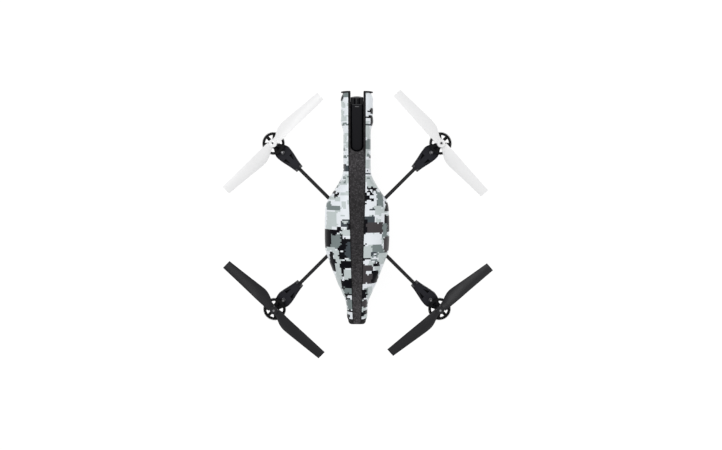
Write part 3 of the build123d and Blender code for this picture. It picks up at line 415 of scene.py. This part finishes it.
# Patches of the camouflage, from above: low and high X, low and high Y in mm, and tone.
# Later ones cover earlier ones.
PATCHES = [
    (-22, -13, 194, 201, "grey"), (-27, -20.5, 190, 202, "black"), (-22, -18, 178, 188, "frost"),
    (-27, -19, 165, 175, "frost"), (-24, -15, 159, 166, "frost"), (-26, -14, 153, 155.5, "grey"),
    (-22, -16, 126, 133, "frost"), (-22, -16, 114, 124, "frost"), (-21, -17, 115, 119, "grey"),
    (-22, -14, 104, 107, "grey"), (-23, -15, 89, 95, "black"), (-19, -10, 84, 92, "slate"),
    (-20, -14, 74, 76.5, "grey"), (-24, -15, 63, 70, "frost"), (-21, -17, 65, 69, "grey"),
    (-32, -25, 66, 70, "grey"), (-35, -28, 59, 66, "grey"), (-37, -32, 50, 56, "black"),
    (-34, -28, 46, 52, "black"), (-32, -25, 39, 45, "frost"), (-22, -17, 30, 39, "frost"),
    (-46, -39, 31, 38, "grey"), (-45, -24, 26, 33, "grey"), (-46, -30, 2, 24, "frost"),
    (-47, -36, -8, 3, "frost"), (-24, -10, 2, 13, "slate"), (-21, -12, 8, 11, "frost"),
    (-14, -9, -2, 6, "black"), (-25, -10, -11, -1, "frost"), (-30, -24, -6, 2, "black"),
    (-42, -28, -15, -3, "black"), (-50, -38, -30, -3, "black"), (-39, -23, -31, -9, "grey"),
    (-25, -21, -14, -10, "black"), (-24, -9, -22, -15, "black"), (-30, -15, -45, -28, "black"),
    (-24, -16, -46, -18, "black"), (-17, -9, -44, -21, "slate"), (-46, -33, -35, -28, "frost"),
    (-41, -28, -53, -36, "black"), (-35, -27, -47, -34, "frost"), (-30, -24, -55, -46, "frost"),
    (-36, -34, -44, -41, "white"), (-25, -22, -37, -34, "white"), (-41, -32, -66, -46, "black"),
    (-32, -22, -82, -54, "frost"), (-25, -9, -60, -48, "black"), (-23, -17, -73, -59, "black"),
    (-19, -7, -80, -62, "frost"), (-24, -8, -94, -79, "black"), (-14, -8, -80, -75, "black"),
    (-19, -7, -99, -90, "grey"), (-18, -6, -111, -99, "black"), (-14, -7, -107, -102, "white"),
    (-16, -6, -124, -109, "grey"), (-16, -5, -128, -125, "black"), (-14, -5, -133, -128, "white"),
    (-16, -12, -138, -132, "black"), (20.5, 28, 170, 179, "black"), (16, 22, 171, 175, "black"),
    (11, 28, 163, 166, "black"), (19.5, 28, 152, 163, "black"), (14, 20, 152, 154.5, "slate"),
    (12, 26, 117, 131, "grey"), (13, 19, 134, 136.5, "frost"), (12, 16, 110, 115, "frost"),
    (15, 18, 106, 110, "grey"), (18, 25, 103, 106, "black"), (13, 21, 88, 101, "frost"),
    (14, 17, 84, 86, "black"), (12, 21, 79, 81, "slate"), (14, 18, 73, 75, "grey"),
    (22, 30, 60, 76, "frost"), (15, 29, 54, 60, "black"), (10, 25, 41, 54, "black"),
    (19, 23, 54, 58, "white"), (14, 18, 49, 52, "white"), (20, 26, 44, 48, "white"),
    (10, 15, 35, 39, "black"), (29, 40, 31, 54, "grey"), (25, 37, 18, 32, "frost"),
    (19, 26, 26, 29, "slate"), (30, 32, 32, 35, "slate"), (10, 26, 8, 17, "slate"),
    (9, 15, -11, 13, "black"), (28, 35, 9, 14, "frost"), (15, 39, -7, 8, "charcoal"),
    (41, 50, -7, 18, "black"), (42, 50, 24, 38, "black"), (38, 45, -15, 7, "grey"),
    (10, 37, -25, -8, "white"), (9, 16, -25, -22.5, "black"), (9, 22, -46, -26, "frost"),
    (22, 39, -43, -25, "grey"), (20, 29, -41, -36, "slate"), (24, 28, -40, -37, "white"),
    (40, 50, -37, -14, "charcoal"), (9, 20, -47, -45, "black"), (20, 31, -50, -47, "grey"),
    (32, 46, -56, -38, "frost"), (8, 23, -84, -55, "charcoal"), (13, 22, -69, -64, "white"),
    (25, 32, -59, -51, "black"), (26, 35, -71, -58, "frost"), (22, 32, -84, -63, "black"),
    (6, 23, -92, -85, "white"), (12, 17, -102, -92, "grey"), (7, 14, -108, -93, "black"),
    (16, 23, -106, -88, "frost"), (10, 16, -110, -107, "white"), (7, 15, -121, -110, "charcoal"),
    (5, 13, -126, -120, "frost"), (7, 16, -133, -126, "black"), (5, 13, -137, -133, "frost"),
]


def camouflage(x, y, down):
    """Tone of the square centred at x, y as seen from above, and this far down the upright wall."""
    square = Vector((round(x / CELL), round(y / CELL), round(down / CELL)))
    jag = noise.cell_vector(square + Vector((0.5, 0.5, 0.5))) - Vector((0.5, 0.5, 0.5))
    drift = noise.noise_vector(square * DRIFT_PACE + Vector((2.3, 0, 0)))
    px = (x + (JAG * jag.x + DRIFT * drift.x) * CELL) / MM
    py = (y + (JAG * jag.y + DRIFT * drift.y) * CELL) / MM
    px += WALL_LEAN * down / MM * math.copysign(1, x)
    coarse = noise.noise(square * COARSE_PACE + Vector((0, 0, 3.7)))
    tone = "frost" if coarse > FROST_OVER else "white"
    for low_x, high_x, low_y, high_y, patch in PATCHES:
        if low_x <= px <= high_x and low_y <= py <= high_y:
            tone = patch
    # Partly painted shade: dark squares down the upright wall.
    if down > WALL_SHADE_FROM and noise.noise(square * WALL_PACE + Vector((9, 5, 1))) > WALL_SHADE_OVER:
        tone = "black" if coarse > 0 else "charcoal"
    return tone


def outer_profile(tree, y, side, centre_height):
    """Points down one slice of a skin's outer face, from its spine edge to the widest place.

    None where the skin is too short there, or a ray misses it.
    """
    def hit(angle):
        ray = Vector((side * math.cos(angle), 0, math.sin(angle)))
        origin = Vector((0, y, centre_height))
        return tree.ray_cast(origin + RAY_START * ray, -ray, RAY_START - MM)[0]

    steps = [TOP_ANGLE * step / RAYS for step in range(RAYS + 1)]
    met = [angle for angle in steps if hit(angle)]
    if len(met) < 3:
        return None
    low, high = met[-1], met[-1] + TOP_ANGLE / RAYS
    for _ in range(HALVINGS):
        middle = (low + high) / 2
        if hit(middle):
            low = middle
        else:
            high = middle
    line = [hit(low * (1 - share / RAYS)) for share in range(RAYS + 1)]
    return line if all(line) else None


def smooth_rows(rows, reach):
    """Each slice averaged with its neighbours along the hull, ends kept."""
    smoothed = []
    for index, row in enumerate(rows):
        span = min(reach, index, len(rows) - 1 - index)
        near = rows[index - span:index + span + 1]
        smoothed.append([sum((other[k] for other in near), Vector()) / len(near) for k in range(len(row))])
    return smoothed


def walk(points, distance):
    """Point at a distance along a line of points, or the line's end."""
    for start, end in zip(points, points[1:]):
        length = (end - start).length
        if distance <= length:
            return start.lerp(end, distance / length)
        distance -= length
    return points[-1]


def tube_cutters():
    """Upright slots round the four arm tubes, as wide as the CAD notches."""
    low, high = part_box("arm_tube_front_right")
    height, radius = (low.z + high.z) / 2, (high.z - low.z) / 2 + NOTCH_CLEAR
    mesh = bmesh.new()
    for angle in ARMS.values():
        turn = Matrix.Rotation(math.radians(angle), 4, "Z")
        profile = [(-radius, height - NOTCH_DEPTH), (radius, height - NOTCH_DEPTH)]
        for k in range(NOTCH_ARC + 1):
            bend = math.pi * k / NOTCH_ARC
            profile.append((radius * math.cos(bend), height + radius * math.sin(bend)))
        ends = [[mesh.verts.new(turn @ Vector((reach, across, up))) for across, up in profile]
                for reach in NOTCH_REACH]
        mesh.faces.new(ends[0])
        mesh.faces.new(list(reversed(ends[1])))
        for k in range(len(profile)):
            after = (k + 1) % len(profile)
            mesh.faces.new([ends[0][after], ends[0][k], ends[1][k], ends[1][after]])
    bmesh.ops.recalc_face_normals(mesh, faces=mesh.faces)
    data = bpy.data.meshes.new("cutters")
    mesh.to_mesh(data)
    mesh.free()
    cutters = bpy.data.objects.new("cutters", data)
    SCENE.collection.objects.link(cutters)
    return cutters


def skin_rows(node, side, step, notch_top):
    """The CAD skin's outer face as smooth slices along the hull, each brought down to its lower edge."""
    source = NODES[node].data
    tree = BVHTree.FromPolygons([v.co for v in source.vertices],
                                [tuple(p.vertices) for p in source.polygons])
    low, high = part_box(node)
    count = round((high.y - low.y) / step)
    first, length = low.y + SLICE_INSET, high.y - low.y - 2 * SLICE_INSET
    rows = [outer_profile(tree, first + length * k / count, side, notch_top) for k in range(count + 1)]
    rows = smooth_rows([row for row in rows if row], SMOOTH_REACH)
    for row in rows:
        row.append(Vector((row[-1].x, row[-1].y, low.z)))
    return rows


def printed_mesh(name, rows, side, step, notch_top, tones):
    """The slices joined into small squares, each with the tone of its camouflage square."""
    mesh = bmesh.new()
    lengths = [sum((b - a).length for a, b in zip(row, row[1:])) for row in rows]
    columns = 1 + math.ceil(max(lengths) / step)
    grid = [[mesh.verts.new(walk(row, column * step)) for column in range(columns)] for row in rows]
    for i in range(len(grid) - 1):
        for k in range(columns - 1):
            corners = [grid[i][k], grid[i][k + 1], grid[i + 1][k + 1], grid[i + 1][k]]
            face = mesh.faces.new(corners if side > 0 else list(reversed(corners)))
            face.smooth = True
            block_i, block_k = i - i % SPLIT, k - k % SPLIT
            middle = grid[min(block_i + 1, len(grid) - 1)][min(block_k + 1, columns - 1)].co
            down = max(0.0, notch_top - middle.z)
            face.material_index = tones.index(camouflage(middle.x, middle.y, down))
    bmesh.ops.remove_doubles(mesh, verts=mesh.verts, dist=MERGE)
    bmesh.ops.dissolve_degenerate(mesh, dist=MERGE, edges=mesh.edges)
    data = bpy.data.meshes.new(name)
    mesh.to_mesh(data)
    mesh.free()
    return data


def thicken_and_notch(skin):
    """Gives the skin its thickness and cuts the notches for the arm tubes."""
    thick = skin.modifiers.new("thickness", "SOLIDIFY")
    thick.thickness = SKIN
    thick.offset = -1
    cut = skin.modifiers.new("notches", "BOOLEAN")
    cutters = tube_cutters()
    cut.object = cutters
    cut.solver = "EXACT"
    bpy.context.view_layer.update()
    finished = bpy.data.meshes.new_from_object(skin.evaluated_get(bpy.context.evaluated_depsgraph_get()))
    skin.modifiers.clear()
    skin.data = finished
    finished.set_sharp_from_angle(angle=SHARP)
    bpy.data.objects.remove(cutters)


def hull_skin(side_name, side, paints):
    """The printed skin: the CAD skin's own outer face, smoothed and squared off into camouflage."""
    node, name = f"hull_skin_{side_name}", f"printed_skin_{side_name}"
    notch_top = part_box("arm_tube_front_right")[1].z + NOTCH_ABOVE_TUBE
    step = CELL / SPLIT
    rows = skin_rows(node, side, step, notch_top)
    data = printed_mesh(name, rows, side, step, notch_top, list(paints))
    for paint in paints.values():
        data.materials.append(paint)
    skin = bpy.data.objects.new(name, data)
    SCENE.collection.objects.link(skin)
    thicken_and_notch(skin)
    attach(skin, "hull")
    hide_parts(node)


# ---- finishes on the CAD pieces ----

def coat(node, material):
    """Gives a CAD piece one material."""
    data = NODES[node].data
    data.materials.clear()
    data.materials.append(material)


POCKET_DEPTH = 5 * MM           # from a motor mount's top to the deck over its pockets


def finish_nodes():
    """A material on each CAD piece that isn't replaced."""
    nylon = moulded("black_nylon", (0.012, 0.012, 0.015), 0.42, 0.12)
    deck_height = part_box("motor_mount_front_right")[1].z - POCKET_DEPTH
    # The motor mounts get painted shade in their pockets, below the deck.
    mount_nylon = moulded("mount_nylon", (0.019, 0.019, 0.024), 0.42, 0.08, shade_below=deck_height)
    gear_plastic = moulded("gear_nylon", (0.003, 0.003, 0.0035), 0.5, 0.12, 0.12 * MM)
    white = moulded("white_propeller", (0.87, 0.87, 0.875), 0.33, 0.4, 0, vary=0.01)
    black = moulded("black_propeller", (0.0125, 0.0125, 0.0145), 0.4, 0.25, 0.3 * MM)
    steel = turned_metal("steel", (0.3, 0.3, 0.305), 0.3)
    blackened = turned_metal("spring_steel", (0.06, 0.06, 0.063), 0.4)
    bright = turned_metal("bright_steel", (0.72, 0.72, 0.72), 0.35)
    can = turned_metal("motor_steel", (0.3, 0.3, 0.31), 0.35)
    pinion_steel = turned_metal("steel_hobbed", (0.13, 0.13, 0.135), 0.4)
    bronze = turned_metal("bronze", (0.6, 0.42, 0.24), 0.45)
    board = circuit_board()
    gloss = moulded("black_gloss", (0.003, 0.003, 0.0045), 0.3, 0.12, 0.3 * MM, 0.04)
    for arm, angle in ARMS.items():
        coat(f"arm_tube_{arm}", carbon_tube(f"carbon_tube_{arm}", angle))
        coat(f"motor_mount_{arm}", mount_nylon)
        coat(f"landing_foot_{arm}", nylon)
        coat(f"motor_can_{arm}", can)
        coat(f"motor_shaft_{arm}", steel)
        coat(f"pinion_{arm}", pinion_steel)
        coat(f"gear_{arm}", gear_plastic)
        coat(f"rotor_shaft_{arm}", blackened if arm.startswith("front") else steel)
        coat(f"circlip_{arm}", bright if arm.startswith("front") else blackened)
        coat(f"propeller_{arm}", white if arm.startswith("front") else black)
    coat("shaft_bushes", bronze)
    coat("mount_screws", blackened)
    coat("motor_leads", moulded("lead_insulation", (0.02, 0.02, 0.02), 0.6, 0.3, 0))
    for node in ("motor_controllers", "main_board", "navigation_board"):
        coat(node, board)
    for node in ("central_cross", "electronics_tray"):
        coat(node, nylon)
    coat("usb_socket", steel)
    coat("ultrasound_sensors", turned_metal("sensor_aluminium", (0.7, 0.71, 0.72), 0.35))
    coat("ground_camera", gloss)
    coat("camera_bezel", gloss)
    coat("camera_lens", lens_glass())
    coat("camera_cover", moulded("cover_plastic", (0.0045, 0.0045, 0.0065), 0.42, 0.1, 0.4 * MM))
    coat("battery_pack", battery_case())
    coat("battery_strap", woven_strap())
    coat("hull_foam", expanded_foam("charcoal_foam", (0.034, 0.032, 0.034), 2.2 * MM, edges_and_painted_shade=True))
    coat("belly_foam", expanded_foam("black_foam", (0.022, 0.022, 0.024), 2.8 * MM))


# ---- small pieces on the camera cover ----

CORNER_STEPS = 6
EDGE_START = 0.6                # share of a plate's height where its edge turns in
EDGE_SCALE = 0.94               # of its top, beside its foot


def rounded_plate(name, middle, size, corner, height, material):
    """A thin plate with round corners and a softened top edge, lying flat, half sunk in the cover."""
    mesh = bmesh.new()
    outline = []
    for quarter, (side_x, side_y) in enumerate(((1, 1), (-1, 1), (-1, -1), (1, -1))):
        for step in range(CORNER_STEPS + 1):
            angle = math.pi / 2 * (quarter + step / CORNER_STEPS)
            outline.append((side_x * (size[0] / 2 - corner) + corner * math.cos(angle),
                            side_y * (size[1] / 2 - corner) + corner * math.sin(angle)))
    levels = [(1.0, -height), (1.0, height * EDGE_START), (EDGE_SCALE, height)]
    rings = [[mesh.verts.new(Vector((middle[0] + x * scale, middle[1] + y * scale, middle[2] + up)))
              for x, y in outline] for scale, up in levels]
    for lower, upper in zip(rings, rings[1:]):
        for k in range(len(outline)):
            after = (k + 1) % len(outline)
            mesh.faces.new([lower[k], lower[after], upper[after], upper[k]])
    mesh.faces.new(rings[-1])
    mesh.faces.new(list(reversed(rings[0])))
    data = bpy.data.meshes.new(name)
    mesh.to_mesh(data)
    mesh.free()
    data.materials.append(material)
    plate = bpy.data.objects.new(name, data)
    SCENE.collection.objects.link(plate)
    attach(plate, "airframe")


def cover_details():
    """The pale grey dash near the cover's front and the lighter grey line along its front edge."""
    front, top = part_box("camera_cover")[1].y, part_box("camera_cover")[1].z
    trim = moulded("cover_trim", (0.03, 0.03, 0.034), 0.4, 0.25, 0)
    pale = moulded("cover_pale_dash", (0.12, 0.12, 0.125), 0.45, 0.3, 0)
    rounded_plate("cover_trim_line", (0, front - 0.7 * MM, top), (13.6 * MM, 0.8 * MM), 0.39 * MM,
                  0.12 * MM, trim)
    rounded_plate("cover_pale_dash", (0, front - 3.6 * MM, top), (6 * MM, 1.1 * MM), 0.5 * MM, 0.15 * MM, pale)


def main():
    add_camera()
    add_lights()
    add_floor()
    finish_nodes()
    noise.seed_set(DRIFT_SEED)
    paints = {tone: film(f"film_{tone}", color) for tone, color in TONES.items()}
    hull_skin("left", -1, paints)
    hull_skin("right", 1, paints)
    cover_details()


main()
